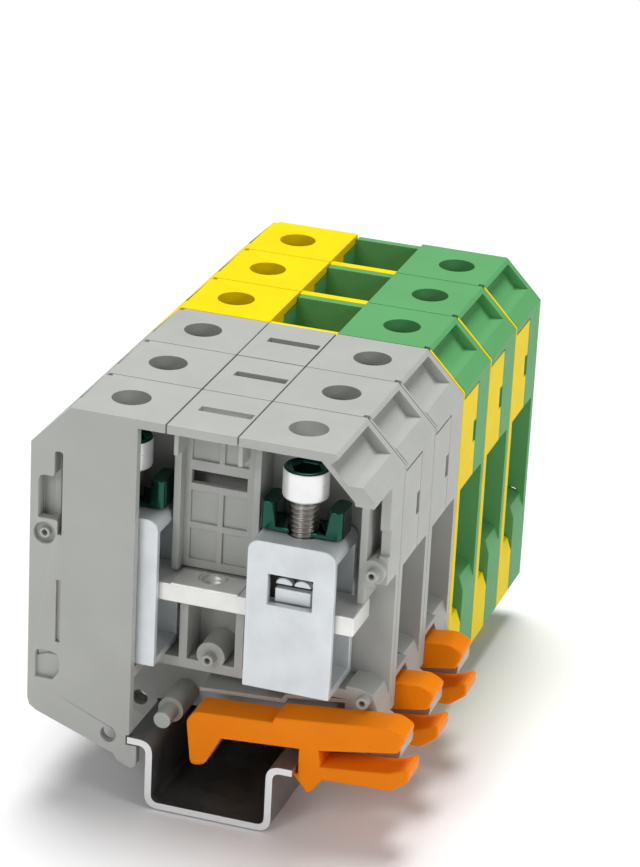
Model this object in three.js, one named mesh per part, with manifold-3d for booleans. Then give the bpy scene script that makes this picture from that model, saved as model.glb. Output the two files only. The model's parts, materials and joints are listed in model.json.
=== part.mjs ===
// Six high-current screw terminal blocks on a section of 35 mm top-hat rail: three grey feed-through
// blocks, the first with part of its front shell cut away, and three green-yellow earth blocks.
// Millimetres, +Z up. X runs along each block, Y along the rail, and the origin is the middle of the
// rail's underside.
import * as THREE from "three";
import { mergeVertices } from "three/addons/utils/BufferGeometryUtils.js";
import Module from "manifold-3d";

const wasm = await Module();
wasm.setup();

// Clearance that neighbouring pieces keep.
const GAP = 0.3;

// Rail: top-hat section 35 wide and 15 deep.
const RAIL_LENGTH = 128;
const RAIL_WIDTH = 35;
const RAIL_CHANNEL = 27;
const RAIL_HEIGHT = 15;
const RAIL_SHEET = 1.5;
const RAIL_BEND = 1.6;

// Block: outer size, and where its middle sits over the rail.
const PITCH = 20;
const BLOCK_WIDTH = PITCH - GAP;
const BLOCK_LENGTH = 70.5;
const BLOCK_TOP = 84;
const BLOCK_OFFSET = -4;
const FEED_BLOCKS = 3;
const EARTH_BLOCKS = 3;

// Housing.
const WALL = 2;
const HALF = BLOCK_LENGTH / 2;
const MID_Y = BLOCK_WIDTH / 2;
const FRONT_END = MID_Y - GAP / 2;
const CEILING = BLOCK_TOP - WALL;
const CHAMFER_X = 27;
const CHAMFER_Z = 75.5;
const CHAMFER_SHEET = 3.4;
const HEAD_BOTTOM = 53;
const HEAD_SEAM = 74;
const SIDE_SEAM_Y = 11.2;
const CHAMBER_X = 31.3;
const CHAMBER_WALL = 1.5;
const CHAMBER_BOTTOM = 49;
const SHAFT_X = 7.5;
const SHAFT_WALL = 1.5;
const SHAFT_BOTTOM = 48.8;
const SHAFT_BACK_Y = 12.5;
const FLOOR_TOP = 29.7;
const FLOOR_BOTTOM = 27.5;
const SKIRT_TOP = 24;
const DRIVER_HOLE_R = 3.9;
const DRIVER_HOLE_SIDES = 24;
const COLLAR_R = 5.4;
const COLLAR_BOTTOM = 80.2;
const CUT_X = -13.1;
const SEAT_Z = RAIL_HEIGHT + GAP;

// Pins and sockets that hold the two shells together: [x, z] of each axis.
const WALL_STUD = [-32.1, 56.4];
const WALL_STUD_R = 1.1;
const WALL_STUD_RING_R = 2.3;
const STUDS = [[0, 31], [32.6, 28.2], [33, 56]];
const STUD_R = 1.3;
const PILOT_R = 0.6;
const PLAIN_HOLES = [[29.9, 17.8], [33.8, 17.2]];
const PLAIN_HOLE_R = 0.8;
const PEG = [-7.5, 18.3];
const PEG_R = 2.7;
const PEG_TIP_R = 1.8;
const CENTRE_BOSS = [0, 31.2];
const CENTRE_BOSS_R = 3;
const SIDE_BOSS = [32.5, 56];
const SIDE_BOSS_R = 2.6;
const CLAW_HOLE = [-17.6, 14.7];
const CLAW_HOLE_R = 1.7;

// Clamps: one each side of the middle.
const CLAMP_X = 18.3;
const CAGE_HALF_X = 9;
const CAGE_BOTTOM = 30.2;
const CAGE_TOP = 62;
const CAGE_FRONT_Y = 2.7;
const CAGE_SHEET = 1.6;
const CAGE_NUT = 3;
const THREAD_R = 3;
const THREAD_CLEARANCE = 0.2;
const HEAD_R = 4.6;
const HEAD_Z = 69.6;
const HEAD_TOP = 76.2;
const SOCKET_R = 2.9;
const SOCKET_DEPTH = 4;

// Current bar.
const BAR_HALF_X = 31;
const BAR_FRONT_Y = CAGE_FRONT_Y + CAGE_SHEET + GAP;
const BAR_BOTTOM = 44;
const BAR_TOP = 48.2;
const BAR_SEAT = 48.5;
const BAR_HOLE_R = 2.8;
const BAR_HOLE_SIDES = 24;
const PAD_BOTTOM = BAR_SEAT;
const PAD_TOP = 54;

// Foot parts.
const SLIDER_FRONT_Y = 2.4;
const SLIDER_BACK_Y = FRONT_END - 0.1;
const FOOT_SCREW_R = 2.5;
const RAIL_TIP_X = RAIL_WIDTH / 2 - BLOCK_OFFSET;
const RAIL_TIP_LEFT_X = -RAIL_WIDTH / 2 - BLOCK_OFFSET;

// Sides of a round piece: small pins and holes have fewer.
const SMALL_R = 2;
const sidesOf = (radius) => (radius < SMALL_R ? 8 : 16);
const ARC_STEPS = 2;
const RAIL_ARC_STEPS = 6;

// ---------------------------------------------------------------- solids

// A closed geometry as a solid that can be joined and cut.
function solid(geometry) {
  const bare = geometry.clone();
  bare.deleteAttribute("normal");
  bare.deleteAttribute("uv");
  const merged = mergeVertices(bare, 1e-4);
  return new wasm.Manifold(
    new wasm.Mesh({
      numProp: 3,
      vertProperties: new Float32Array(merged.attributes.position.array),
      triVerts: new Uint32Array(merged.index.array),
    }),
  );
}

// The surface of a solid as a geometry with flat faces.
function surface(made) {
  const mesh = made.getMesh();
  const geometry = new THREE.BufferGeometry();
  geometry.setAttribute("position", new THREE.BufferAttribute(new Float32Array(mesh.vertProperties), 3));
  geometry.setIndex(new THREE.BufferAttribute(new Uint32Array(mesh.triVerts), 1));
  const flat = geometry.toNonIndexed();
  flat.computeVertexNormals();
  return flat;
}

function join(pieces) {
  return pieces.reduce((whole, piece) => whole.add(piece));
}

function cut(body, tools) {
  return tools.reduce((left, tool) => left.subtract(tool), body);
}

function box([x0, x1], [y0, y1], [z0, z1]) {
  const geometry = new THREE.BoxGeometry(x1 - x0, y1 - y0, z1 - z0);
  geometry.translate((x0 + x1) / 2, (y0 + y1) / 2, (z0 + z1) / 2);
  return solid(geometry);
}

// A box given on the right-hand side, placed on the side that `side` names: -1 left, 1 right.
function sideBox(side, [x0, x1], ySpan, zSpan) {
  const xSpan = side > 0 ? [x0, x1] : [-x1, -x0];
  return box(xSpan, ySpan, zSpan);
}

// An outline of corners [first, second, rounding]; the rounding is left out on a sharp corner.
function outline(corners) {
  const points = corners.map(([a, b]) => new THREE.Vector2(a, b));
  const shape = new THREE.Shape();
  corners.forEach(([, , rounding = 0], i) => {
    const corner = points[i];
    const before = points[(i + points.length - 1) % points.length];
    const after = points[(i + 1) % points.length];
    const start = corner.clone().add(before.clone().sub(corner).setLength(rounding));
    const end = corner.clone().add(after.clone().sub(corner).setLength(rounding));
    if (i === 0) shape.moveTo(start.x, start.y);
    else shape.lineTo(start.x, start.y);
    if (rounding) shape.quadraticCurveTo(corner.x, corner.y, end.x, end.y);
  });
  shape.closePath();
  return shape;
}

// A plate whose outline lies in X and Z, from y0 to y1.
function plate(corners, [y0, y1], arcSteps = ARC_STEPS) {
  const geometry = new THREE.ExtrudeGeometry(outline(corners), {
    depth: y1 - y0,
    bevelEnabled: false,
    curveSegments: arcSteps,
  });
  geometry.rotateX(Math.PI / 2);
  geometry.translate(0, y1, 0);
  return solid(geometry);
}

// The same plate, with its outline given on the right and placed on the side that `side` names.
function sidePlate(side, corners, ySpan) {
  const placed = corners.map(([x, z, rounding]) => [side * x, z, rounding]);
  return plate(placed, ySpan);
}

function pinAlongY(x, z, radius, [y0, y1]) {
  const geometry = new THREE.CylinderGeometry(radius, radius, y1 - y0, sidesOf(radius));
  geometry.translate(x, (y0 + y1) / 2, z);
  return solid(geometry);
}

function pinAlongZ(x, y, radius, [z0, z1], sides = sidesOf(radius)) {
  const geometry = new THREE.CylinderGeometry(radius, radius, z1 - z0, sides);
  geometry.rotateX(Math.PI / 2);
  geometry.translate(x, y, (z0 + z1) / 2);
  return solid(geometry);
}

// Half a turn about the block's upright middle line.
function turned(made) {
  return made.rotate([0, 0, 180]).translate([0, BLOCK_WIDTH, 0]);
}

// ---------------------------------------------------------------- materials

function moulded(colour) {
  return new THREE.MeshStandardMaterial({ color: colour, roughness: 0.55, metalness: 0 });
}

function metal(colour, roughness) {
  return new THREE.MeshStandardMaterial({ color: colour, roughness, metalness: 1 });
}

const greyPlastic = () => moulded(0xaeb0aa);
const yellowPlastic = () => moulded(0xffe000);
const greenPlastic = () => moulded(0x4aa86c);
const orangePlastic = () => moulded(0xff8c00);
const galvanisedSteel = () => metal(0xb4b8b8, 0.45);
const zincPlatedSteel = () => metal(0xd8e0e4, 0.4);
const tinPlatedCopper = () => metal(0xd6d6d0, 0.4);
const chromatedSteel = () => metal(0x1f4a3c, 0.2);

// ---------------------------------------------------------------- rail

function railSolid() {
  const channel = RAIL_CHANNEL / 2;
  const inner = channel - RAIL_SHEET;
  const tip = RAIL_WIDTH / 2;
  const shoulder = RAIL_HEIGHT - RAIL_SHEET;
  const right = [
    [channel, 0, RAIL_BEND + RAIL_SHEET],
    [channel, shoulder, RAIL_BEND],
    [tip, shoulder],
    [tip, RAIL_HEIGHT],
    [inner, RAIL_HEIGHT, RAIL_BEND + RAIL_SHEET],
    [inner, RAIL_SHEET, RAIL_BEND],
  ];
  const left = right.map(([x, z, rounding]) => [-x, z, rounding]).reverse();
  return plate([...right, ...left], [-RAIL_LENGTH / 2, RAIL_LENGTH / 2], RAIL_ARC_STEPS);
}

// ---------------------------------------------------------------- housing

// The underside of the sloped end of a head, as a height at x.
function slopeUnderside(x) {
  const run = HALF - CHAMFER_X;
  const drop = BLOCK_TOP - CHAMFER_Z;
  const down = (CHAMFER_SHEET * Math.hypot(run, drop)) / run;
  return BLOCK_TOP - down - ((x - CHAMFER_X) * drop) / run;
}

// Where that underside meets the ceiling.
function slopeCeilingX() {
  const run = HALF - CHAMFER_X;
  const drop = BLOCK_TOP - CHAMFER_Z;
  return CHAMFER_X + ((slopeUnderside(CHAMFER_X) - CEILING) * run) / drop;
}

// A shell's own head: the top plate with its screwdriver hole and the collar under it, and the slope
// with its marker pocket.
function headSolid(side, slopeEndY) {
  const head = sidePlate(
    side,
    [
      [SHAFT_X, CEILING],
      [SHAFT_X, BLOCK_TOP],
      [CHAMFER_X, BLOCK_TOP],
      [HALF, CHAMFER_Z],
      [HALF, HEAD_SEAM],
      [CHAMBER_X, HEAD_SEAM],
      [CHAMBER_X, slopeUnderside(CHAMBER_X)],
      [slopeCeilingX(), CEILING],
    ],
    [0, BLOCK_WIDTH],
  );
  const collar = pinAlongZ(side * CLAMP_X, MID_Y, COLLAR_R, [COLLAR_BOTTOM, CEILING + 0.5]);
  const holeZ = [COLLAR_BOTTOM - 1, BLOCK_TOP + 1];
  const hole = pinAlongZ(side * CLAMP_X, MID_Y, DRIVER_HOLE_R, holeZ, DRIVER_HOLE_SIDES);
  const rebateY = [slopeEndY, BLOCK_WIDTH + 1];
  const rebate = sideBox(side, [CHAMFER_X - 1, HALF + 1], rebateY, [HEAD_SEAM - 1, BLOCK_TOP + 1]);
  return cut(join([head, collar]), [hole, markerPocket(side), rebate]);
}

// The marker pocket, sunk square into the slope below its top edge, with a ramp up to the ledge below
// it. It runs from a thin rib at the shell's outer face to the other shell.
function markerPocket(side) {
  const rib = 0.9;
  const start = 1.1;
  const end = 8.2;
  const ramp = 1.9;
  const depth = 2.2;
  const above = 1;
  const run = HALF - CHAMFER_X;
  const drop = BLOCK_TOP - CHAMFER_Z;
  const slope = Math.hypot(run, drop);
  const along = [run / slope, -drop / slope];
  const inward = [-drop / slope, -run / slope];
  const corner = (s, d) => [
    CHAMFER_X + along[0] * s + inward[0] * d,
    BLOCK_TOP + along[1] * s + inward[1] * d,
  ];
  const corners = [
    corner(start, -above),
    corner(end + (above * ramp) / depth, -above),
    corner(end - ramp, depth),
    corner(start, depth),
  ];
  return sidePlate(side, corners, [rib, BLOCK_WIDTH + 1]);
}

// The thin edge of a shell's wall that closes the end of the other shell's slope.
function slopeRib() {
  const rib = 0.7;
  return plate(
    [
      [CHAMFER_X + GAP, CEILING - GAP],
      [CHAMFER_X + GAP, BLOCK_TOP - GAP],
      [HALF, CHAMFER_Z],
      [HALF, HEAD_SEAM - GAP],
      [CHAMBER_X, HEAD_SEAM - GAP],
    ],
    [0, rib],
  );
}

// The upper part of the front shell's broad wall; its own head is on the left.
function upperWall(shaftTop) {
  const under = CEILING - GAP;
  return plate(
    [
      [-HALF, SKIRT_TOP],
      [-HALF, CHAMFER_Z],
      [-CHAMFER_X, BLOCK_TOP],
      [-SHAFT_X, BLOCK_TOP],
      [-SHAFT_X, shaftTop],
      [SHAFT_X - GAP, shaftTop],
      [SHAFT_X - GAP, under],
      [slopeCeilingX() - GAP, under],
      [CHAMBER_X - GAP, slopeUnderside(CHAMBER_X) - GAP],
      [CHAMBER_X, HEAD_SEAM - GAP],
      [HALF, HEAD_SEAM - GAP],
      [HALF, SKIRT_TOP],
    ],
    [0, WALL],
  );
}

// Cut-outs near the wall's left edge: the latch slot, the lower window, the ledge groove and the ring
// round the stud. Only the walls that end the row have them, because the next block hides the others.
function edgeCuts() {
  const through = [-1, WALL + 1];
  const slot = plate(
    [
      [-33.5, 59.6],
      [-33.5, 68.8, 1.2],
      [-30.2, 68.8, 0.5],
      [-30.2, 74.2, 0.5],
      [-28.5, 74.2, 0.5],
      [-28.5, 56.5],
      [-29.4, 56.5],
      [-29.4, 59.6, 0.5],
    ],
    through,
  );
  const window = plate(
    [
      [-33.6, 23.8],
      [-33.6, 30.7, 1],
      [-28.5, 30.7, 2],
      [-28.5, 26.4],
      [-30.4, 23.8, 1],
    ],
    [-1, FRONT_END - 1.2],
  );
  const groove = box([-29.4, -28.5], [-1, 0.8], [33, 46.6]);
  const stud = pinAlongY(...WALL_STUD, WALL_STUD_R, [-1, WALL]);
  const ring = cut(pinAlongY(...WALL_STUD, WALL_STUD_RING_R, [-1, 1.2]), [stud]);
  const pilot = pinAlongY(...WALL_STUD, PILOT_R, [-1, WALL - 0.5]);
  return [slot, window, groove, ring, pilot];
}

// The plate that closes the latch slot from behind.
function slotBacking() {
  const beyondCage = -CLAMP_X - CAGE_HALF_X - 2 * GAP;
  return box([-HALF + 1, beyondCage], [WALL + 1.4, WALL + 2.6], [HEAD_BOTTOM + 1, HEAD_SEAM]);
}

// The part of a side face, the ceiling of the wire recess and the chamber wall on one side of a front shell.
function sideOfHead(side, top, endY) {
  const inner = FRONT_END;
  const face = sideBox(side, [HALF - WALL, HALF], [0, endY], [HEAD_BOTTOM, top]);
  const shelfX = [CHAMBER_X - CHAMBER_WALL, HALF - WALL - GAP];
  const ceiling = sideBox(side, shelfX, [0, inner], [HEAD_BOTTOM, HEAD_BOTTOM + WALL]);
  const chamber = sideBox(side, [CHAMBER_X - CHAMBER_WALL, CHAMBER_X], [0, inner], [CHAMBER_BOTTOM, top]);
  return [face, ceiling, chamber];
}

// Everything above the skirt in a front shell. A rear shell is the same, turned half round.
function upperHalf({ earth, slopeEndY, endsRow }) {
  const shaftTop = earth ? BLOCK_TOP - 0.6 : CEILING - GAP;
  const under = CEILING - GAP;
  const inner = [1, FRONT_END];
  const windowZ = [60.8, 65.6];
  const body = join([
    upperWall(shaftTop),
    headSolid(-1, slopeEndY),
    slopeRib(),
    ...sideOfHead(-1, HEAD_SEAM + 0.5, BLOCK_WIDTH - SIDE_SEAM_Y - GAP),
    ...sideOfHead(1, HEAD_SEAM - GAP, SIDE_SEAM_Y),
    sideBox(-1, [SHAFT_X, SHAFT_X + SHAFT_WALL], inner, [SHAFT_BOTTOM, CEILING + 0.5]),
    sideBox(1, [SHAFT_X, SHAFT_X + SHAFT_WALL], inner, [SHAFT_BOTTOM, under]),
    box([-CHAMBER_X, CHAMBER_X], inner, [FLOOR_BOTTOM, FLOOR_TOP]),
    ...[-1, 1].map((side) => sideBox(side, [5, 6.8], inner, [FLOOR_TOP - 1, BAR_BOTTOM - GAP])),
    ...(endsRow ? [slotBacking()] : []),
  ]);
  const window = box([HALF - WALL - 1, HALF + 1], [SIDE_SEAM_Y - 1.8, SIDE_SEAM_Y + 1], windowZ);
  const screwPath = pinAlongZ(0, MID_Y, FOOT_SCREW_R + 0.7, [FLOOR_BOTTOM - 1, FLOOR_TOP + 1]);
  return cut(body, [window, ...(earth ? [screwPath] : []), ...(endsRow ? edgeCuts() : [])]);
}

// The skirt: the wall below the clamps, with the fixed claw that hooks under the rail's left flange.
function skirt(earth, ySpan) {
  const claw = [
    [RAIL_TIP_LEFT_X - GAP, SEAT_Z],
    [RAIL_TIP_LEFT_X - GAP, RAIL_HEIGHT - RAIL_SHEET - GAP],
    [-11.5, RAIL_HEIGHT - RAIL_SHEET - GAP],
    [-11.5, 9],
    [-12.5, 8],
    [-15.5, 9.2],
    [-16.4, 10.6],
    [-20, 12],
    [-HALF, 17.6, 2],
  ];
  const feedEnd = [
    [24, SEAT_Z],
    [33, 19.5],
    [HALF, 22],
  ];
  const earthEnd = [
    [RAIL_TIP_X + GAP, SEAT_Z],
    [RAIL_TIP_X + GAP, 12],
    [25, 9],
    [HALF, 9],
  ];
  const end = earth ? earthEnd : feedEnd;
  const top = SKIRT_TOP + 0.5;
  const wall = plate([[-HALF, top], [HALF, top], ...end.reverse(), ...claw], ySpan);
  return cut(wall, [pinAlongY(...CLAW_HOLE, CLAW_HOLE_R, [-1, BLOCK_WIDTH + 1])]);
}

// The rounded lip that a wire slides over on its way into the clamp.
function lip(side, top, bottom, ySpan) {
  return sidePlate(
    side,
    [
      [28.5, bottom],
      [28.5, top],
      [HALF, top, 4],
      [HALF, bottom],
    ],
    ySpan,
  );
}

function frontShell(kind) {
  const earth = kind === "earth";
  const slopeEndY = BLOCK_WIDTH - 1;
  const pieces = [
    upperHalf({ earth, slopeEndY, endsRow: kind === "cutaway" }),
    skirt(earth, [0, WALL]),
    lip(-1, FLOOR_TOP, FLOOR_BOTTOM - 3, [1, FRONT_END]),
  ];
  if (earth) pieces.push(lip(1, SKIRT_TOP - 1, 9, [1, FRONT_END]));
  else pieces.push(box([28, HALF], [1, FRONT_END], [28.4, FLOOR_TOP]));
  const shell = join(pieces);
  if (kind !== "cutaway") return shell;
  const depth = [-1, SIDE_SEAM_Y + 1];
  const underHead = box([CUT_X, -SHAFT_X + GAP], depth, [RAIL_HEIGHT, CEILING]);
  const beyondHead = box([-SHAFT_X, HALF + 1], depth, [RAIL_HEIGHT, BLOCK_TOP + 1]);
  return cut(shell, [underHead, beyondHead]);
}

function rearShell(kind, endsRow) {
  const earth = kind === "earth";
  const slopeEndY = kind === "cutaway" ? BLOCK_WIDTH + 1 : BLOCK_WIDTH - 1;
  const back = BLOCK_WIDTH - WALL;
  const front = FRONT_END + GAP;
  const inner = [front, back + 1];
  const pieces = [
    turned(upperHalf({ earth, slopeEndY, endsRow })),
    skirt(earth, [back, BLOCK_WIDTH]),
    lip(-1, FLOOR_TOP, FLOOR_BOTTOM - 3, inner),
    lip(1, FLOOR_TOP + 0.8, earth ? 9 : 14.5, inner),
    pinAlongY(...PEG, PEG_R, [front - 1.5, back + 1]),
    pinAlongY(...PEG, PEG_TIP_R, [3.5, front]),
  ];
  if (!earth) {
    pieces.push(shaftBack(kind === "cutaway"), guideFinger(inner), guideLedge(inner));
    pieces.push(pinAlongY(...CENTRE_BOSS, CENTRE_BOSS_R, inner));
  }
  if (kind !== "cutaway") return join(pieces);
  pieces.push(pinAlongY(...SIDE_BOSS, SIDE_BOSS_R, inner), ...studs(front));
  return cut(join(pieces), [...studHoles(front), latchNotch()]);
}

// The panel at the back of the bridge shaft, with its slot, and in the open block its shallow cells.
function shaftBack(open) {
  const thickness = 1.5;
  const cell = 0.6;
  const depth = [SHAFT_BACK_Y, SHAFT_BACK_Y + thickness];
  const panel = box([-SHAFT_X - 1, SHAFT_X + 1], depth, [SHAFT_BOTTOM, CEILING - GAP]);
  const slot = box([-6.2, 5.4], [SHAFT_BACK_Y - 1, SHAFT_BACK_Y + thickness + 1], [67, 69.8]);
  const cells = [[50.6, 57.2], [58.6, 65.4], [72, 79.5]].flatMap((zSpan) =>
    [[-6.2, -0.6], [0.6, 5.6]].map((xSpan) => box(xSpan, [SHAFT_BACK_Y - 1, SHAFT_BACK_Y + cell], zSpan)),
  );
  return cut(panel, [slot, ...(open ? cells : [])]);
}

// The finger that steadies the foot slider from behind.
function guideFinger(ySpan) {
  return plate(
    [
      [25.5, 14.5, 0.8],
      [38.5, 14.5, 1],
      [40.6, 16.8, 1],
      [40.6, 19.6, 1],
      [34, 23.5],
      [25.5, 23.5],
    ],
    ySpan,
  );
}

// The stepped ledge over the foot slider.
function guideLedge(ySpan) {
  return plate(
    [
      [-2, 23],
      [-2, 23.9],
      [15.4, 24.9],
      [16, 26.1],
      [29, 27.6],
      [29, 26.7],
      [16.8, 25.3],
      [16.2, 24],
    ],
    ySpan,
  );
}

// The studs that pin the two shells together, which only the open block shows.
function studs(front) {
  return STUDS.map(([x, z]) => pinAlongY(x, z, STUD_R, [front - 2, front + 1]));
}

function studHoles(front) {
  const pilots = STUDS.map(([x, z]) => pinAlongY(x, z, PILOT_R, [front - 3, front + 2]));
  const plain = PLAIN_HOLES.map(([x, z]) => pinAlongY(x, z, PLAIN_HOLE_R, [front - 1, front + 4]));
  return [...pilots, ...plain];
}

// The step in the side face where the front shell's latch would sit.
function latchNotch() {
  return box([CHAMBER_X + 1, HALF + 1], [SIDE_SEAM_Y - 1, SIDE_SEAM_Y + 1.4], [59, 64.5]);
}

// ---------------------------------------------------------------- loose parts of a feed-through block

// The snap-in cover over the bridge shaft.
function coverSolid() {
  const half = SHAFT_X - GAP;
  const slot = box([-4.3, 6.6], [MID_Y - 0.5, MID_Y + 1.9], [CEILING - 1, BLOCK_TOP + 1]);
  const top = box([-half, half], [0, BLOCK_WIDTH], [CEILING, BLOCK_TOP]);
  const arms = [-1, 1].map((side) => sideBox(side, [half - 1.1, half - 0.1], [4, 9], [76, CEILING + 0.5]));
  return join([cut(top, [slot]), ...arms]);
}

// The foot slider: an upper bar with a leg in the rail's channel, and a tooth under the rail's right flange.
function sliderSolid() {
  const tipX = RAIL_TIP_X;
  const flangeUnder = RAIL_HEIGHT - RAIL_SHEET - GAP;
  const body = plate(
    [
      [-2, 20, 0.8],
      [-0.9, 10.3, 1],
      [2.1, 10.7, 1],
      [5.6, 17.4],
      [tipX + GAP, 18.6],
      [tipX + GAP, flangeUnder],
      [tipX - 1, flangeUnder],
      [24.1, 9, 0.8],
      [27.1, 12.8],
      [41.2, 13.4, 0.5],
      [44.7, 16.2, 0.5],
      [44.7, 19.1, 0.6],
      [40.4, 17.3],
      [26.4, 15.6],
      [25.9, 19],
      [42.1, 21.9, 0.5],
      [43.6, 25.6, 1],
      [40.5, 27.2, 1],
      [16.6, 24.6],
      [16, 23.4],
      [-0.4, 22.4, 1],
    ],
    [SLIDER_FRONT_Y, SLIDER_BACK_Y],
  );
  return body;
}

// ---------------------------------------------------------------- clamps

// The clamp cage: a ring of sheet round the bar and the wire, with the nut at its top.
function cageSolid() {
  const back = BLOCK_WIDTH - CAGE_FRONT_Y;
  const span = [-CAGE_HALF_X, CAGE_HALF_X];
  const outer = box(span, [CAGE_FRONT_Y, back], [CAGE_BOTTOM, CAGE_TOP]);
  const hollow = box(
    [-CAGE_HALF_X - 1, CAGE_HALF_X + 1],
    [CAGE_FRONT_Y + CAGE_SHEET, back - CAGE_SHEET],
    [CAGE_BOTTOM + CAGE_SHEET, CAGE_TOP - CAGE_NUT],
  );
  const thread = pinAlongZ(0, MID_Y, THREAD_R + THREAD_CLEARANCE, [CAGE_TOP - CAGE_NUT - 1, CAGE_TOP + 1]);
  const window = box([-4.6, 4.6], [CAGE_FRONT_Y - 1, CAGE_FRONT_Y + CAGE_SHEET + 0.1], [48.7, 55.2]);
  const corners = [-1, 1].map((side) => cornerCut(side));
  return cut(outer, [hollow, thread, window, ...corners]);
}

// What a rounded top corner of the cage leaves out.
function cornerCut(side) {
  const radius = 2.2;
  const steps = 4;
  const edge = CAGE_HALF_X + 1;
  const arc = Array.from({ length: steps + 1 }, (_, i) => {
    const angle = (i * Math.PI) / 2 / steps;
    return [
      CAGE_HALF_X - radius + radius * Math.cos(angle),
      CAGE_TOP - radius + radius * Math.sin(angle),
    ];
  });
  const outside = [
    [CAGE_HALF_X - radius, CAGE_TOP + 1],
    [edge, CAGE_TOP + 1],
    [edge, CAGE_TOP - radius],
  ];
  return sidePlate(side, [...arc, ...outside], [0, BLOCK_WIDTH]);
}

// The clamp screw: a cylinder head with a hexagon socket over a plain shank; its axis is X 0, Y 0.
function screwSolid(tip) {
  const chamfer = 0.6;
  const profile = [
    [0, tip],
    [THREAD_R, tip],
    [THREAD_R, HEAD_Z],
    [HEAD_R, HEAD_Z],
    [HEAD_R, HEAD_TOP - chamfer],
    [HEAD_R - chamfer, HEAD_TOP],
    [0, HEAD_TOP],
  ];
  return cut(lathe(profile), [hexSocket(SOCKET_R, HEAD_TOP, SOCKET_DEPTH)]);
}

// A body of revolution about Z from a profile of [radius, height] that starts and ends on the axis.
function lathe(profile) {
  const points = profile.map(([r, z]) => new THREE.Vector2(r, z));
  const geometry = new THREE.LatheGeometry(points, sidesOf(SMALL_R));
  geometry.rotateX(Math.PI / 2);
  return solid(geometry);
}

function hexSocket(radius, top, depth) {
  const geometry = new THREE.CylinderGeometry(radius, radius, depth + 1, 6);
  geometry.rotateX(Math.PI / 2);
  geometry.translate(0, 0, top - depth + (depth + 1) / 2);
  return solid(geometry);
}

// The guide yoke that rides on the cage: two arms on a floor that is open to the front, so that the
// screw's thread shows.
function yokeSolid() {
  const outer = 8.4;
  const sheet = 1;
  const base = [CAGE_TOP + GAP, CAGE_TOP + GAP + sheet];
  const arms = [base[0], HEAD_Z - 1.3];
  const depth = [MID_Y - 2.4, MID_Y + 4.8];
  const floor = box([-outer, outer], depth, base);
  const hole = pinAlongZ(0, MID_Y, THREAD_R + THREAD_CLEARANCE, [base[0] - 1, base[1] + 1]);
  const pair = [-1, 1].map((side) => sideBox(side, [HEAD_R + 0.6, outer], depth, arms));
  return join([cut(floor, [hole]), ...pair]);
}

// The pressure pad between the screw's tip and the bar.
function padSolid() {
  return box([-4, 4], [BAR_FRONT_Y, BLOCK_WIDTH - BAR_FRONT_Y], [PAD_BOTTOM, PAD_TOP]);
}

// The current bar: its middle is relieved underneath and carries a raised seat with the threaded hole.
function barSolid() {
  const depth = [BAR_FRONT_Y, BLOCK_WIDTH - BAR_FRONT_Y];
  const body = box([-BAR_HALF_X, BAR_HALF_X], depth, [BAR_BOTTOM, BAR_TOP]);
  const seatHalf = SHAFT_X - GAP;
  const seat = box([-seatHalf, seatHalf], [BAR_FRONT_Y, SHAFT_BACK_Y - GAP], [BAR_TOP - 1, BAR_SEAT]);
  const reliefHalf = CLAMP_X - CAGE_HALF_X;
  const relief = box([-reliefHalf, reliefHalf], [0, BLOCK_WIDTH], [BAR_BOTTOM - 1, BAR_BOTTOM + GAP]);
  const thread = pinAlongZ(0, MID_Y, BAR_HOLE_R, [BAR_BOTTOM - 1, BAR_SEAT + 1], BAR_HOLE_SIDES);
  return cut(join([body, seat]), [relief, thread]);
}

// ---------------------------------------------------------------- foot of an earth block

// The screw that draws the rail clamp up; its axis is X 0, Y 0.
function footScrewSolid() {
  const seat = BAR_SEAT + GAP;
  const headTop = seat + 5;
  const tip = 16.6;
  const headR = 4.5;
  const profile = [
    [0, tip],
    [FOOT_SCREW_R, tip],
    [FOOT_SCREW_R, seat],
    [headR, seat],
    [headR, headTop],
    [0, headTop],
  ];
  return cut(lathe(profile), [hexSocket(2.4, headTop, 3)]);
}

// The steel clamp that grips the rail's right flange from below.
function railClampSolid() {
  const top = 22.5;
  const under = RAIL_HEIGHT - RAIL_SHEET - GAP;
  const arm = box([-4.5, 25], [4, BLOCK_WIDTH - 4], [top - 3, top]);
  const hook = plate(
    [
      [RAIL_TIP_X + GAP, top - 1],
      [25, top - 1],
      [25, 9.6, 1],
      [RAIL_TIP_X - 1.8, 9.6, 0.5],
      [RAIL_TIP_X - 1.8, under],
      [RAIL_TIP_X + GAP, under],
    ],
    [4, FRONT_END - 0.1],
  );
  const thread = pinAlongZ(0, MID_Y, FOOT_SCREW_R + THREAD_CLEARANCE, [top - 4, top + 1]);
  return cut(join([arm, hook]), [thread]);
}

// ---------------------------------------------------------------- assembly

function named(name, made, material, position = [0, 0, 0]) {
  const mesh = new THREE.Mesh(surface(made), material);
  mesh.name = name;
  mesh.position.set(...position);
  return mesh;
}

// The two clamps of a block: screw and cage, and the loose parts that only the open block shows.
function addClamps(block, name, open) {
  const tip = open ? PAD_TOP + GAP : BAR_TOP + GAP;
  [["left", -CLAMP_X], ["right", CLAMP_X]].forEach(([side, x]) => {
    block.add(named(`${name}_${side}_screw`, screwSolid(tip), zincPlatedSteel(), [x, MID_Y, 0]));
    block.add(named(`${name}_${side}_cage`, cageSolid(), zincPlatedSteel(), [x, 0, 0]));
    if (!open) return;
    block.add(named(`${name}_${side}_yoke`, yokeSolid(), chromatedSteel(), [x, 0, 0]));
    block.add(named(`${name}_${side}_pad`, padSolid(), zincPlatedSteel(), [x, 0, 0]));
  });
}

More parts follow.
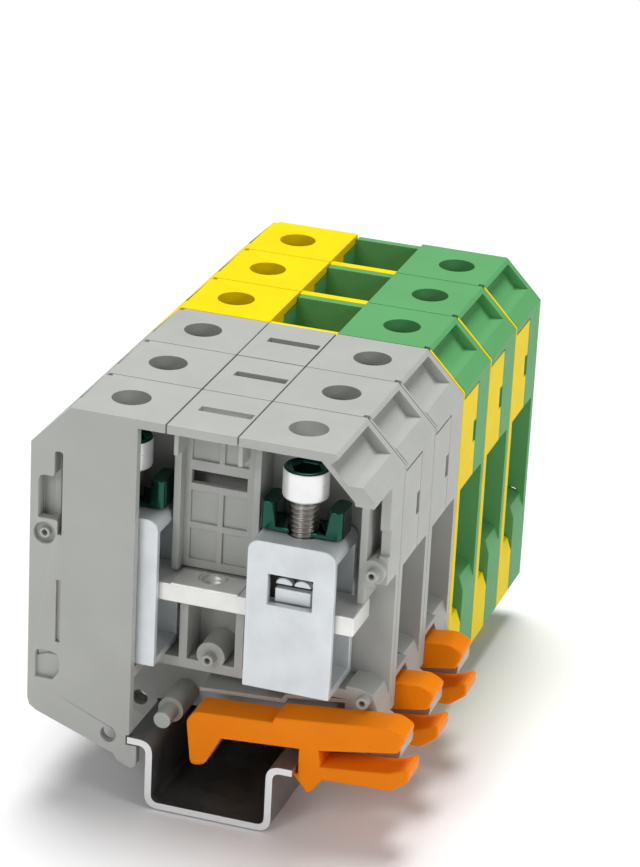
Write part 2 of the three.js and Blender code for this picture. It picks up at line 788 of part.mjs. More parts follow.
function feedBlock(name, open) {
  const kind = open ? "cutaway" : "feed";
  const block = new THREE.Group();
  block.add(named(`${name}_front_shell`, frontShell(kind), greyPlastic()));
  block.add(named(`${name}_rear_shell`, rearShell(kind, false), greyPlastic()));
  block.add(named(`${name}_cover`, coverSolid(), greyPlastic()));
  block.add(named(`${name}_bar`, barSolid(), tinPlatedCopper()));
  block.add(named(`${name}_slider`, sliderSolid(), orangePlastic()));
  addClamps(block, name, open);
  return block;
}

function earthBlock(name, last) {
  const block = new THREE.Group();
  block.add(named(`${name}_front_shell`, frontShell("earth"), yellowPlastic()));
  block.add(named(`${name}_rear_shell`, rearShell("earth", last), greenPlastic()));
  block.add(named(`${name}_bar`, barSolid(), tinPlatedCopper()));
  block.add(named(`${name}_foot_screw`, footScrewSolid(), zincPlatedSteel(), [0, MID_Y, 0]));
  block.add(named(`${name}_rail_clamp`, railClampSolid(), zincPlatedSteel()));
  addClamps(block, name, false);
  return block;
}

const terminalStrip = new THREE.Group();
terminalStrip.add(named("din_rail", railSolid(), galvanisedSteel()));

for (let place = 0; place < FEED_BLOCKS + EARTH_BLOCKS; place += 1) {
  const last = place === FEED_BLOCKS + EARTH_BLOCKS - 1;
  const block = place < FEED_BLOCKS
    ? feedBlock(`feed_${place + 1}`, place === 0)
    : earthBlock(`earth_${place - FEED_BLOCKS + 1}`, last);
  block.position.set(BLOCK_OFFSET, -RAIL_LENGTH / 2 + place * PITCH, 0);
  terminalStrip.add(block);
}

export default terminalStrip;
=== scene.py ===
"""Looks of the terminal block row: rounded copies of the moulded and metal parts, real threads and
sockets, procedural materials, a pale floor, soft light and the camera."""
import json
import math

import bmesh
import bpy
import numpy as np
from mathutils import Matrix, Vector
from mathutils.bvhtree import BVHTree


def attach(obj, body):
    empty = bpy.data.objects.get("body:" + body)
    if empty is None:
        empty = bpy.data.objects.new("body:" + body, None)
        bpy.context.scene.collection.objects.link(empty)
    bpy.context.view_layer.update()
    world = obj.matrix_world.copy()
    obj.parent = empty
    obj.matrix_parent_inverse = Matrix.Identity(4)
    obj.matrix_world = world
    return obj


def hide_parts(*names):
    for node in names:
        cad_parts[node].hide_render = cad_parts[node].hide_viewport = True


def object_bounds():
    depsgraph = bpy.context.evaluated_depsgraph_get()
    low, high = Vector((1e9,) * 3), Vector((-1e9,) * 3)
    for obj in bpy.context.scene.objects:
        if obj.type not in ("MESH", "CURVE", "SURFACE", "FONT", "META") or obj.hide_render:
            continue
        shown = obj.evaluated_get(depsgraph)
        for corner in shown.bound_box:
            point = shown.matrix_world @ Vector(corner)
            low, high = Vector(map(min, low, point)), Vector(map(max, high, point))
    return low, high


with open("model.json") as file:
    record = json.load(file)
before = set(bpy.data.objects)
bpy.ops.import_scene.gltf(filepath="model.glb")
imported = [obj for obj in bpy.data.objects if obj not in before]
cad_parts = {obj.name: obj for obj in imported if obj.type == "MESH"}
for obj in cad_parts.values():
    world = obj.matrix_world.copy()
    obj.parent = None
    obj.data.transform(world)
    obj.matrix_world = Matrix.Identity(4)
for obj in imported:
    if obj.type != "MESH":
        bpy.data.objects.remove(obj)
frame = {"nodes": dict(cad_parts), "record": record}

MM = 0.001
CAD_BOX = [list(corner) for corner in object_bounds()]
NODES = frame["nodes"]
BODY_OF = {n: body for body, members in frame["record"]["behaviour"]["bodies"].items() for n in members}
SLOT_OF = {entry["node"]: entry["material_slot"] for entry in frame["record"]["subparts"]}

# Where the blocks stand, and sizes that the new pieces share with the solids, in millimetres.
BLOCK_X = -4.0
ROW_FRONT_Y = -64.0
PITCH = 20.0
MID_Y = 9.85
BLOCK_WIDTH = 19.7
WALL = 2.0
CLAMP_X = 18.3
BLOCKS = ["feed_1", "feed_2", "feed_3", "earth_1", "earth_2", "earth_3"]


# ------------------------------------------------------------------ materials

class Nodes:
    """A material's node tree, with a short way to add and link nodes."""

    def __init__(self, name):
        self.material = bpy.data.materials.new(name)
        self.material.use_nodes = True
        self.tree = self.material.node_tree
        self.shader = self.tree.nodes["Principled BSDF"]

    def add(self, kind, inputs=None, **settings):
        node = self.tree.nodes.new(kind)
        for key, value in settings.items():
            setattr(node, key, value)
        for key, value in (inputs or {}).items():
            if isinstance(value, bpy.types.NodeSocket):
                self.tree.links.new(value, node.inputs[key])
            else:
                node.inputs[key].default_value = value
        return node

    def drive(self, socket, value):
        self.tree.links.new(value, self.shader.inputs[socket])

    def noise(self, scale, detail=3.0, stretch=None):
        coords = self.add("ShaderNodeTexCoord").outputs["Object"]
        if stretch:
            coords = self.add("ShaderNodeMapping", {"Vector": coords, "Scale": stretch}).outputs["Vector"]
        inputs = {"Vector": coords, "Scale": scale, "Detail": detail}
        return self.add("ShaderNodeTexNoise", inputs).outputs["Fac"]

    def ramp(self, value, low, high, colour_low, colour_high):
        node = self.add("ShaderNodeValToRGB", {"Fac": value})
        first, last = node.color_ramp.elements
        first.position, last.position = low, high
        first.color, last.color = colour_low, colour_high
        return node.outputs["Color"]

    def span(self, value, low, high):
        node = self.add("ShaderNodeMapRange", {"Value": value, "To Min": low, "To Max": high})
        return node.outputs["Result"]

    def facing(self, axis, low, high):
        """1 where the surface faces along an axis of its own object, either way, and 0 where it doesn't."""
        normal = self.add("ShaderNodeTexCoord").outputs["Normal"]
        parts = self.add("ShaderNodeSeparateXYZ", {"Vector": normal}).outputs[axis]
        size = self.add("ShaderNodeMath", {0: parts}, operation="ABSOLUTE").outputs["Value"]
        inputs = {"Value": size, "From Min": low, "From Max": high}
        return self.add("ShaderNodeMapRange", inputs).outputs["Result"]

    def mix(self, factor, low, high):
        """The colour low, turning to high as factor goes from 0 to 1."""
        node = self.add("ShaderNodeMix", {"Factor": factor}, data_type="RGBA")
        for socket, value in (("A", low), ("B", high)):
            if isinstance(value, bpy.types.NodeSocket):
                self.tree.links.new(value, node.inputs[socket])
            else:
                node.inputs[socket].default_value = value
        return node.outputs["Result"]

    def bump(self, height, strength, distance):
        node = self.add("ShaderNodeBump", {"Height": height, "Strength": strength, "Distance": distance})
        self.drive("Normal", node.outputs["Normal"])

    def painted_edge_highlight(self, colour, edge, amount):
        """colour, turning to edge along convex edges: a painted highlight where the edges catch the light."""
        pointiness = self.add("ShaderNodeNewGeometry").outputs["Pointiness"]
        mask = self.add(
            "ShaderNodeMapRange",
            {"Value": pointiness, "From Min": 0.52, "From Max": 0.6, "To Min": 0.0, "To Max": amount},
        ).outputs["Result"]
        return self.mix(mask, colour, edge)


def shade(colour, factor):
    return tuple(min(1.0, channel * factor) for channel in colour) + (1.0,)


def plastic(name, colour, roughness=0.42, sheen=0.4):
    """Moulded polyamide: faint mottling, spark-eroded texture, and convex edges lightened as a painted
    highlight.
    """
    m = Nodes(name)
    mottled = m.ramp(m.noise(90, 4), 0.3, 0.7, shade(colour, 0.955), shade(colour, 1.03))
    # painted highlight: the colour turns lighter along the convex edges
    m.drive("Base Color", m.painted_edge_highlight(mottled, shade(colour, 1.22), 0.35))
    m.drive("Roughness", m.span(m.noise(350, 2), roughness - 0.07, roughness + 0.1))
    m.bump(m.noise(2600, 2), 0.09, 0.0001)
    m.shader.inputs["Specular IOR Level"].default_value = sheen
    return m.material


def plated(name, colour, roughness, grain=(1, 1, 12), bump=0.05, metallic=1.0):
    """Plated sheet or turned steel: drawn grain, cloudy plating, and convex edges brightened as a painted
    highlight.
    """
    m = Nodes(name)
    cloudy = m.ramp(m.noise(160, 5), 0.25, 0.75, shade(colour, 0.88), shade(colour, 1.08))
    # painted highlight: the plating turns brighter along the convex edges
    m.drive("Base Color", m.painted_edge_highlight(cloudy, shade(colour, 1.25), 0.5))
    m.drive("Roughness", m.span(m.noise(500, 4, grain), roughness - 0.08, roughness + 0.12))
    m.bump(m.noise(1500, 3, grain), bump, 0.0001)
    m.shader.inputs["Metallic"].default_value = metallic
    return m.material


def galvanised(name):
    """Galvanised strip: zinc spangle with fine rolling lines, a painted highlight along convex edges, and
    bright metal on the sheared ends.
    """
    m = Nodes(name)
    coords = m.add("ShaderNodeTexCoord").outputs["Object"]
    spangle = m.add("ShaderNodeTexVoronoi", {"Vector": coords, "Scale": 260.0}).outputs["Color"]
    value = m.add("ShaderNodeSeparateColor", {"Color": spangle}).outputs["Red"]
    zinc = m.ramp(value, 0.0, 1.0, (0.15, 0.155, 0.155, 1), (0.22, 0.225, 0.225, 1))
    # painted highlight: the zinc turns lighter along the convex edges
    sheet = m.painted_edge_highlight(zinc, (0.6, 0.62, 0.62, 1), 0.5)
    ends = m.facing("Y", 0.6, 0.9)
    m.drive("Base Color", m.mix(ends, sheet, (0.9, 0.9, 0.9, 1)))
    rough = m.span(value, 0.34, 0.5)
    m.drive("Roughness", m.add("ShaderNodeMath", {0: rough, 1: ends}, operation="MAXIMUM").outputs["Value"])
    m.drive("Metallic", m.span(ends, 0.85, 0.1))
    m.bump(m.noise(900, 3, (20, 1, 20)), 0.06, 0.0001)
    return m.material


MATERIALS = {
    "grey_plastic": plastic("grey_polyamide", (0.43, 0.44, 0.415)),
    "yellow_plastic": plastic("yellow_polyamide", (0.93, 0.69, 0.0), 0.5, 0.1),
    "green_plastic": plastic("green_polyamide", (0.11, 0.375, 0.135), 0.5, 0.25),
    "orange_plastic": plastic("orange_polyamide", (0.93, 0.235, 0.0), 0.38, 0.12),
    "galvanised_rail": galvanised("galvanised_strip"),
    "zinc_screw": plated("zinc_turned", (0.93, 0.94, 0.93), 0.3, (1, 1, 4), 0.012, 0.45),
    "zinc_cage": plated("zinc_sheet", (0.70, 0.735, 0.755), 0.42, metallic=0.4),
    "chromated_yoke": plated("green_chromate", (0.012, 0.075, 0.05), 0.1, metallic=0.75),
    "tinned_bar": plated("tin_plate", (0.80, 0.80, 0.77), 0.34, (12, 1, 1), metallic=0.45),
}
# A darker copy of the screws' zinc for their threads: painted shade for the shanks that stand deep in the
# chambers.
SHADED_THREAD_STEEL = plated("shaded_thread_steel", (0.42, 0.40, 0.37), 0.3)
# A near-black colour for the sheets behind the pads: painted shade that darkens the cage windows.
PAINTED_SHADE_STEEL = plated("painted_shade_steel", (0.02, 0.024, 0.022), 0.5, metallic=0.3)


# ------------------------------------------------------------------ mesh helpers

# Edges that turn more than SMOOTH_ANGLE are rounded. Faces closer than BLEND_COSINE share a normal.
SMOOTH_ANGLE = math.radians(38)
BLEND_COSINE = math.cos(math.radians(62))
FLAT_ANGLE = math.radians(0.6)

# Tolerances in millimetres: for points that are one, for those that a bevel leaves on each other, and
# for the side of a pin or hole that lies on its circle.
SAME = 0.01
WELD = 0.003
ON_CIRCLE = 0.02

# A face is a stray if its edges' cross product is at least the first and its middle is the second
# away from the solid. Small slivers are let through.
STRAY_CROSS = 0.4
STRAY_DISTANCE = 0.35


def show(name, mesh, body, slot, material=None):
    """A new visible piece that rides on a body."""
    piece = bpy.data.objects.new(name, mesh)
    bpy.context.scene.collection.objects.link(piece)
    mesh.materials.clear()
    mesh.materials.append(material or MATERIALS[slot])
    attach(piece, body)
    return piece


def weigh_normals(mesh):
    """Sets corner normals weighted by face area: flat faces stay flat and rounded edges blend into them."""
    corners = len(mesh.loops)
    vertex = np.empty(corners, dtype=np.int64)
    mesh.loops.foreach_get("vertex_index", vertex)
    sides = np.empty(len(mesh.polygons), dtype=np.int64)
    mesh.polygons.foreach_get("loop_total", sides)
    area = np.empty(len(mesh.polygons))
    mesh.polygons.foreach_get("area", area)
    normal = np.empty(len(mesh.polygons) * 3)
    mesh.polygons.foreach_get("normal", normal)
    face = np.repeat(np.arange(len(mesh.polygons)), sides)
    order = np.argsort(vertex, kind="stable")
    at, facing = vertex[order], normal.reshape(-1, 3)[face[order]]
    weighted = facing * area[face[order]][:, None]
    total = weighted.copy()
    for shift in range(1, int(np.bincount(vertex).max())):
        near = (facing[shift:] * facing[:-shift]).sum(axis=1) > BLEND_COSINE
        near &= at[shift:] == at[:-shift]
        total[shift:][near] += weighted[:-shift][near]
        total[:-shift][near] += weighted[shift:][near]
    total /= np.maximum(np.linalg.norm(total, axis=1), 1e-20)[:, None]
    ready = np.empty_like(total)
    ready[order] = total
    mesh.normals_split_custom_set(ready.tolist())


def finish_mesh(bm, name):
    """The mesh of bm with smooth faces whose corner normals are weighted by area."""
    for face in bm.faces:
        face.smooth = True
    mesh = bpy.data.meshes.new(name)
    bm.to_mesh(mesh)
    bm.free()
    weigh_normals(mesh)
    return mesh


def place_of(node):
    """The point a node's block is measured from, the middle of its front at z = 0, in metres."""
    block = next((i for i, name in enumerate(BLOCKS) if node.startswith(name)), None)
    if block is None:
        return Vector((0, 0, 0))
    return Vector((BLOCK_X, ROW_FRONT_Y + block * PITCH, 0)) * MM


def to_metres(node):
    """The matrix from millimetres in a node's block to metres in the frame."""
    return Matrix.Translation(place_of(node)) @ Matrix.Scale(MM, 4)


def merged_copy(node):
    """A bmesh of the CAD node in its block's millimetres, with its flat faces merged."""
    bm = bmesh.new()
    bm.from_mesh(NODES[node].data)
    bm.transform(to_metres(node).inverted())
    bmesh.ops.remove_doubles(bm, verts=bm.verts, dist=SAME)
    bmesh.ops.dissolve_limit(bm, angle_limit=FLAT_ANGLE, verts=bm.verts, edges=bm.edges)
    bm.normal_update()
    return bm


def bevel(bm, width, segments, wanted=None):
    """Rounds the sharp outward edges of bm, or only those that wanted accepts."""
    sharp = [e for e in bm.edges if len(e.link_faces) == 2 and e.calc_face_angle(0) > SMOOTH_ANGLE]
    edges = [e for e in sharp if e.is_convex and (not wanted or wanted(e))]
    bmesh.ops.bevel(
        bm, geom=edges, offset=width, offset_type="OFFSET", segments=segments, profile=0.5,
        affect="EDGES", clamp_overlap=False, miter_outer="SHARP", harden_normals=False,
    )
    bmesh.ops.remove_doubles(bm, verts=bm.verts, dist=WELD)


def round_off(bm, x, z, radius, cuts=3):
    """Divides the sides of a pin or hole that runs along Y, and moves the new points onto its circle."""
    def reach(vert):
        return math.hypot(vert.co.x - x, vert.co.z - z)

    def is_side(edge):
        ends = edge.verts
        level = abs(ends[0].co.y - ends[1].co.y) < SAME
        return level and all(abs(reach(v) - radius) < ON_CIRCLE for v in ends)

    added = {}
    for edge in [e for e in bm.edges if is_side(e)]:
        near, end = edge.verts
        first, last = near.co.copy(), end.co.copy()
        rest = edge
        for i in range(cuts):
            rest, vert = bmesh.utils.edge_split(rest, near, 1 / (cuts + 1 - i))
            rest = next(e for e in vert.link_edges if end in e.verts)
            point = first.lerp(last, (i + 1) / (cuts + 1))
            arm = Vector((point.x - x, 0, point.z - z)).normalized() * radius
            vert.co = (x + arm.x, point.y, z + arm.z)
            near = vert
            added[vert] = (round(arm.x, 2), round(arm.z, 2))
    for vert, key in added.items():
        for other in [v for v, k in added.items() if k == key and v is not vert]:
            shared = [f for f in vert.link_faces if f in other.link_faces]
            joined = any(other in e.verts for e in vert.link_edges)
            if shared and not joined:
                bmesh.utils.face_split(shared[0], vert, other)
    bm.normal_update()


def strays(bm, node):
    """Whether a face of bm leaves the node's surface, as one that spans an opening does."""
    solid = NODES[node].data
    inward = to_metres(node).inverted()
    points = [inward @ v.co for v in solid.vertices]
    surface = BVHTree.FromPolygons(points, [tuple(p.vertices) for p in solid.polygons])
    for corners in bm.calc_loop_triangles():
        a, b, c = (corner.vert.co for corner in corners)
        if (b - a).cross(c - a).length < STRAY_CROSS:
            continue
        _, _, _, distance = surface.find_nearest((a + b + c) / 3)
        if distance > STRAY_DISTANCE:
            return True
    return False


def rounded(node, widths, prepare=None, wanted=None):
    """The node's mesh with its edges rounded by the first of widths that fits it, or sharp."""
    for width in (*widths, 0):
        bm = merged_copy(node)
        if prepare:
            prepare(bm)
        if width:
            bevel(bm, width, 2, wanted)
        bmesh.ops.triangulate(bm, faces=[face for face in bm.faces if len(face.verts) > 4])
        if not width or not strays(bm, node):
            break
        bm.free()
    bm.transform(to_metres(node))
    return finish_mesh(bm, node + "_look")


def restyle(node, mesh):
    """Shows mesh in place of the node."""
    piece = show("look_" + node, mesh, BODY_OF[node], SLOT_OF[node])
    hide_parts(node)
    return piece


def rings_mesh(bm, rings):
    """Faces between rings that have the same number of points, given in order along the surface."""
    rows = [[bm.verts.new(point) for point in ring] for ring in rings]
    for low, high in zip(rows, rows[1:]):
        for i in range(len(low)):
            j = (i + 1) % len(low)
            bm.faces.new((low[i], low[j], high[j], high[i]))
    return rows


# ------------------------------------------------------------------ pieces: mouldings and sheet metal

# Round pins and holes of the shells: (x, z, radius) in their block.
SHELL_ROUNDS = [
    (-17.6, 14.7, 1.7), (17.6, 14.7, 1.7),
    (0, 31, 1.3), (32.6, 28.2, 1.3), (33, 56, 1.3), (0, 31, 0.6), (32.6, 28.2, 0.6), (33, 56, 0.6),
    (29.9, 17.8, 0.8), (33.8, 17.2, 0.8), (-7.5, 18.3, 2.7), (-7.5, 18.3, 1.8), (0, 31.2, 3), (32.5, 56, 2.6),
    (-32.1, 56.4, 2.3), (-32.1, 56.4, 1.1), (-32.1, 56.4, 0.6),
]
SHELL_WIDTHS = (0.16, 0.11, 0.07, 0.04)
EDGE_WIDTH = {"galvanised_rail": 0.12, "zinc_cage": 0.25, "tinned_bar": 0.35, "orange_plastic": 0.4}
EDGE_WIDTH_ELSEWHERE = 0.22

# The yoke's upright corners are the edges at least this near to vertical and this long.
YOKE_UPRIGHT = 0.9
YOKE_CORNER_LENGTH = 3.0
YOKE_CORNER_WIDTH = 1.2
YOKE_EDGE_WIDTH = 0.3

# The pressure pad, about its clamp's middle line: block, neck, two lobes and the carrier behind them, a
# near-black sheet that is painted shade in the window.
SLAB_EDGE_WIDTH = 0.2
PAD_HALF = 3.7
PAD_LOW = 48.6
PAD_HIGH = 51.6
PAD_DEPTHS = (4.8, 14.9)
NECK_HALF = 2.6
NECK_LAP = 0.5
NECK_DEPTHS = (7.5, 14.5)
LOBE_X = 1.9
LOBE_HALF = 1.75
LOBE_LOW = 52.5
LOBE_TOP = 53.9
LOBE_STEPS = 12
CARRIER_HALF = 5.2
CARRIER_TOP = 55.6
CARRIER_DEPTHS = (6.2, 7.4)


def shell_look(node):
    wall = WALL if node.endswith("front_shell") else BLOCK_WIDTH - WALL

    def round_pins(bm):
        for x, z, radius in SHELL_ROUNDS:
            round_off(bm, x, z, radius)

    def shows(edge):
        return any(abs(vert.co.y - wall) > SAME for vert in edge.verts)

    restyle(node, rounded(node, SHELL_WIDTHS, round_pins, shows))


def yoke_look(node):
    """The yoke with its upright edges well rounded."""
    def upright(edge):
        along = edge.verts[1].co - edge.verts[0].co
        return abs(along.normalized().z) > YOKE_UPRIGHT and along.length > YOKE_CORNER_LENGTH

    bm = merged_copy(node)
    bevel(bm, YOKE_CORNER_WIDTH, 5, upright)
    bevel(bm, YOKE_EDGE_WIDTH, 3)
    bm.transform(to_metres(node))
    restyle(node, finish_mesh(bm, node + "_look"))


def plain_look(node):
    width = EDGE_WIDTH.get(SLOT_OF[node], EDGE_WIDTH_ELSEWHERE)
    restyle(node, rounded(node, (width, width / 2, width / 4)))


def slab(bm, outline, near, far):
    """Adds to bm a plate with an outline of (x, z) between two depths."""
    front = [bm.verts.new((x, near, z)) for x, z in outline]
    made = bmesh.ops.extrude_face_region(bm, geom=[bm.faces.new(front)])
    for vert in [v for v in made["geom"] if isinstance(v, bmesh.types.BMVert)]:
        vert.co.y += far - near


def finish_slabs(bm, node, side, name):
    """The mesh of slabs made about a clamp's middle line."""
    bmesh.ops.recalc_face_normals(bm, faces=bm.faces)
    bevel(bm, SLAB_EDGE_WIDTH, 2)
    bm.transform(to_metres(node) @ Matrix.Translation((side * CLAMP_X, 0, 0)))
    return finish_mesh(bm, name)


def box_outline(half, low, high):
    return [(-half, low), (half, low), (half, high), (-half, high)]


def pad_look(node):
    """The pressure pad: a block and two lobes over a dark gap, on a dark carrier whose near-black colour is
    painted shade inside the window.
    """
    side = -1 if "left" in node else 1
    arc = [math.pi * step / LOBE_STEPS for step in range(LOBE_STEPS + 1)]
    rise = LOBE_TOP - LOBE_LOW
    pad = bmesh.new()
    slab(pad, box_outline(PAD_HALF, PAD_LOW, PAD_HIGH), *PAD_DEPTHS)
    slab(pad, box_outline(NECK_HALF, PAD_HIGH - NECK_LAP, LOBE_LOW + NECK_LAP), *NECK_DEPTHS)
    for middle in (-LOBE_X, LOBE_X):
        lobe = [(middle + LOBE_HALF * math.cos(a), LOBE_LOW + rise * math.sin(a)) for a in arc]
        slab(pad, lobe, *PAD_DEPTHS)
    restyle(node, finish_slabs(pad, node, side, node + "_look"))
    carrier = bmesh.new()
    slab(carrier, box_outline(CARRIER_HALF, PAD_LOW, CARRIER_TOP), *CARRIER_DEPTHS)
    mesh = finish_slabs(carrier, node, side, node + "_carrier")
    # the carrier is shown in the near-black colour: painted shade behind the pad
    show("carrier_" + node, mesh, BODY_OF[node], "chromated_yoke", PAINTED_SHADE_STEEL)


# ------------------------------------------------------------------ pieces: screws and threads

RING_POINTS = 48
THREAD_STEPS = 24
THREAD_PITCH = 1.0

# Turned shapes are profiles of (radius, height), and END_R is the small ring that closes an end.
END_R = 0.02
HEAD_TOP = 76.2
CAP_LOW = HEAD_TOP - 0.35
HEAD_PROFILE = [
    (2.4, 68.9), (2.8, 69.6), (4.0, 69.7), (4.45, 70.0), (4.6, 70.4), (4.6, HEAD_TOP - 0.6), (4.5, CAP_LOW),
]
CAP_PROFILE = [(4.5, CAP_LOW), (4.3, HEAD_TOP - 0.05), (4.05, HEAD_TOP), (3.75, HEAD_TOP - 0.3)]
FOOT_TOP = 53.8
FOOT_PROFILE = [(2.4, 48.8), (4.3, 48.8), (4.5, 49.0), (4.5, 53.3), (4.1, FOOT_TOP)]

# Hexagon sockets: corner radius and depth, with a lead-in at the rim and a cone at the bottom.
CAP_SOCKET = (2.9, 4)
FOOT_SOCKET = (2.4, 3)
SOCKET_LEAD = 0.35
SOCKET_CONE = 0.6

# Shanks: radius of the flat tip, of the thread's root and of its crest. The first block's screws end
# over their pads, and the others on the bar.
CLAMP_SHANK = (2.1, 2.55, 3.0)
CLAMP_SHANK_TOP = 69.2
TIP_OVER_PAD = 54.4
TIP_ON_BAR = 48.6
FOOT_SHANK = (1.7, 2.1, 2.5)
FOOT_SHANK_TOP = 48.9
FOOT_TIP = 16.6
THREAD_START = 0.6
CONE_HEIGHT = 0.7

# The tapped hole of a bar.
TAPPING_ROOT = 2.78
TAPPING_CREST = 2.4
TAPPING_HEIGHTS = (44.4, 48.3)


def circle(centre, radius, z):
    return [
        centre + Vector((radius * math.cos(a), radius * math.sin(a), z)) * MM
        for a in (2 * math.pi * i / RING_POINTS for i in range(RING_POINTS))
    ]


def hexagon(centre, radius, z):
    """A ring of points on a hexagon whose corners are radius from its middle."""
    def reach(angle):
        return radius * math.cos(math.pi / 6) / math.cos(angle % (math.pi / 3) - math.pi / 6)

    angles = [2 * math.pi * i / RING_POINTS for i in range(RING_POINTS)]
    return [centre + Vector((reach(a) * math.cos(a), reach(a) * math.sin(a), z)) * MM for a in angles]


def turned(centre, profile):
    """The rings of a turned shape."""
    return [circle(centre, radius, z) for radius, z in profile]


def socket_rings(centre, socket, top):
    """A hexagon socket with a small lead-in and a conical bottom, from its rim down."""
    reach, depth = socket
    return [
        hexagon(centre, reach + SOCKET_LEAD, top),
        hexagon(centre, reach, top - SOCKET_LEAD),
        hexagon(centre, reach, top - depth),
        circle(centre, END_R, top - depth - SOCKET_CONE),
    ]


def thread(bm, centre, root, crest, low, high):
    """A helical thread between two heights; crest under root makes an internal one."""
    profile = [(root, 0.0), (crest, 0.34), (crest, 0.52), (root, 0.86), (root, 1.0)]
    turns = math.ceil((high - low) / THREAD_PITCH) + 1
    rows = []
    for i in range(turns * THREAD_STEPS + 1):
        angle = 2 * math.pi * i / THREAD_STEPS
        rise = low - THREAD_PITCH + THREAD_PITCH * i / THREAD_STEPS
        row = []
        for radius, share in profile:
            z = min(max(rise + share * THREAD_PITCH, low), high)
            offset = Vector((radius * math.cos(angle), radius * math.sin(angle), z))
            row.append(bm.verts.new(centre + offset * MM))
        rows.append(row)
    for one, other in zip(rows, rows[1:]):
        for k in range(len(profile) - 1):
            bm.faces.new((one[k], other[k], other[k + 1], one[k + 1]))
    bmesh.ops.remove_doubles(bm, verts=bm.verts, dist=0.002 * MM)
    bmesh.ops.dissolve_degenerate(bm, dist=0.001 * MM, edges=bm.edges)


def axis_of(node, x=0):
    """The foot of an upright axis at x in the middle of a node's block, in metres."""
    return place_of(node) + Vector((x, MID_Y, 0)) * MM


def shank_look(node, centre, radii, tip, top):
    """A screw's threaded shank with its tapered tip."""
    flat, root, crest = radii
    shank = bmesh.new()
    thread(shank, centre, root, crest, tip + THREAD_START, top)
    rings_mesh(shank, turned(centre, [(END_R, tip), (flat, tip), (root, tip + CONE_HEIGHT)]))
    # the thread takes the darker copy of the screw's zinc: painted shade
    show("thread_" + node, finish_mesh(shank, node + "_thread"), BODY_OF[node], "zinc_screw", SHADED_THREAD_STEEL)


def clamp_screw_look(node):
    """Cylinder-head screw: bright head, threaded shank, and a green top with its socket."""
    side = -1 if "left" in node else 1
    centre = axis_of(node, side * CLAMP_X)
    head = bmesh.new()
    rings_mesh(head, turned(centre, HEAD_PROFILE))
    piece = show("look_" + node, finish_mesh(head, node + "_head"), BODY_OF[node], "zinc_screw")
    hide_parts(node)
    cap = bmesh.new()
    rings_mesh(cap, turned(centre, CAP_PROFILE) + socket_rings(centre, CAP_SOCKET, CAP_LOW))
    show("cap_" + node, finish_mesh(cap, node + "_cap"), BODY_OF[node], "chromated_yoke")
    tip = TIP_OVER_PAD if node.startswith("feed_1") else TIP_ON_BAR
    shank_look(node, centre, CLAMP_SHANK, tip, CLAMP_SHANK_TOP)


def foot_screw_look(node):
    """Cylinder-head screw with a socket, which draws the rail clamp of an earth block."""
    centre = axis_of(node)
    head = bmesh.new()
    rings_mesh(head, turned(centre, FOOT_PROFILE) + socket_rings(centre, FOOT_SOCKET, FOOT_TOP))
    piece = show("look_" + node, finish_mesh(head, node + "_head"), BODY_OF[node], "zinc_screw")
    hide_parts(node)
    shank_look(node, centre, FOOT_SHANK, FOOT_TIP, FOOT_SHANK_TOP)


def bar_thread(node):
    """The tapped hole in the middle of a bar."""
    bm = bmesh.new()
    thread(bm, axis_of(node), TAPPING_ROOT, TAPPING_CREST, *TAPPING_HEIGHTS)
    show("tapping_" + node, finish_mesh(bm, node + "_tapping"), BODY_OF[node], "tinned_bar")


LOOKS = [("_shell", shell_look), ("_yoke", yoke_look), ("_pad", pad_look), ("_foot_screw", foot_screw_look),
         ("_screw", clamp_screw_look)]

for node_name in NODES:
    look = next((made for ending, made in LOOKS if node_name.endswith(ending)), plain_look)
    look(node_name)
    if node_name.startswith("feed") and node_name.endswith("_bar"):
        bar_thread(node_name)


# ------------------------------------------------------------------ floor, light, camera

# Metres, degrees, watts and, for the sun, watts per square metre.
FLOOR_HALF = 4.0
FLOOR_GAP = 0.0002
LIT_POINT = (0, 0, 0.04)
WORLD_STRENGTH = 0.22
CAMERA_PLACE = (0.199, -0.6342, 0.3408)
CAMERA_AZIMUTH = 17.46
CAMERA_ELEVATION = 22.95
CAMERA_ROLL = 2.96
CAMERA_LENS = 142.8
CAMERA_SENSOR = 36


def floor():
    half = FLOOR_HALF
    corners = [(-half, -half, 0), (half, -half, 0), (half, half, 0), (-half, half, 0)]
    mesh = bpy.data.meshes.new("floor")
    mesh.from_pydata(corners, [], [(0, 1, 2, 3)])
    piece = bpy.data.objects.new("floor", mesh)
    bpy.context.scene.collection.objects.link(piece)
    m = Nodes("floor_pale")
    m.drive("Base Color", m.ramp(m.noise(3, 2), 0.3, 0.7, (0.93, 0.93, 0.935, 1), (0.95, 0.95, 0.955, 1)))
    m.shader.inputs["Roughness"].default_value = 0.6
    mesh.materials.append(m.material)
    piece.location.z = CAD_BOX[0][2] - FLOOR_GAP


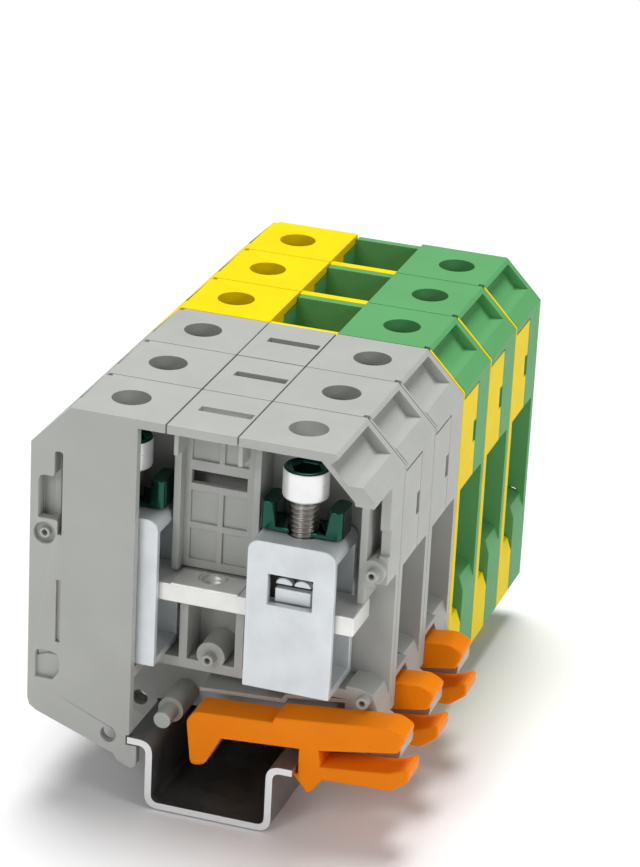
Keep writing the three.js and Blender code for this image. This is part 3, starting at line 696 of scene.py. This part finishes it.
def area_light(name, place, size, power):
    """A soft disc of light that faces the object."""
    data = bpy.data.lights.new(name, "AREA")
    data.shape = "DISK"
    data.size = size
    data.energy = power
    lamp = bpy.data.objects.new(name, data)
    bpy.context.scene.collection.objects.link(lamp)
    lamp.location = place
    lamp.rotation_mode = "QUATERNION"
    lamp.rotation_quaternion = (Vector(LIT_POINT) - Vector(place)).to_track_quat("-Z", "Y")


def sun(name, toward, angle, strength):
    """Even light over the whole floor, from a soft disc in a direction."""
    data = bpy.data.lights.new(name, "SUN")
    data.angle = math.radians(angle)
    data.energy = strength
    lamp = bpy.data.objects.new(name, data)
    bpy.context.scene.collection.objects.link(lamp)
    lamp.rotation_mode = "QUATERNION"
    lamp.rotation_quaternion = Vector(toward).to_track_quat("Z", "Y")


def lights():
    sun("key", toward=(-0.1, 0.28, 1.0), angle=30, strength=2.75)
    area_light("fill", place=(-0.35, -1.1, 0.75), size=0.5, power=3.6)
    area_light("side", place=(1.1, -0.35, 0.6), size=0.5, power=3.6)
    world = bpy.data.worlds.new("studio")
    bpy.context.scene.world = world
    world.use_nodes = True
    background = world.node_tree.nodes["Background"]
    background.inputs["Color"].default_value = (1.0, 1.0, 1.0, 1)
    background.inputs["Strength"].default_value = WORLD_STRENGTH


def camera():
    azimuth, elevation = math.radians(CAMERA_AZIMUTH), math.radians(CAMERA_ELEVATION)
    roll = Matrix.Rotation(math.radians(CAMERA_ROLL), 3, "Z")
    forward = Vector((
        -math.sin(azimuth) * math.cos(elevation),
        math.cos(azimuth) * math.cos(elevation),
        -math.sin(elevation),
    ))
    data = bpy.data.cameras.new("camera")
    data.sensor_width = CAMERA_SENSOR
    data.lens = CAMERA_LENS
    data.clip_start, data.clip_end = 0.01, 20
    eye = bpy.data.objects.new("camera", data)
    bpy.context.scene.collection.objects.link(eye)
    eye.location = CAMERA_PLACE
    eye.rotation_mode = "QUATERNION"
    eye.rotation_quaternion = forward.to_track_quat("-Z", "Y") @ roll.to_quaternion()
    bpy.context.scene.camera = eye


floor()
lights()
camera()
bpy.context.scene.view_settings.view_transform = "Standard"
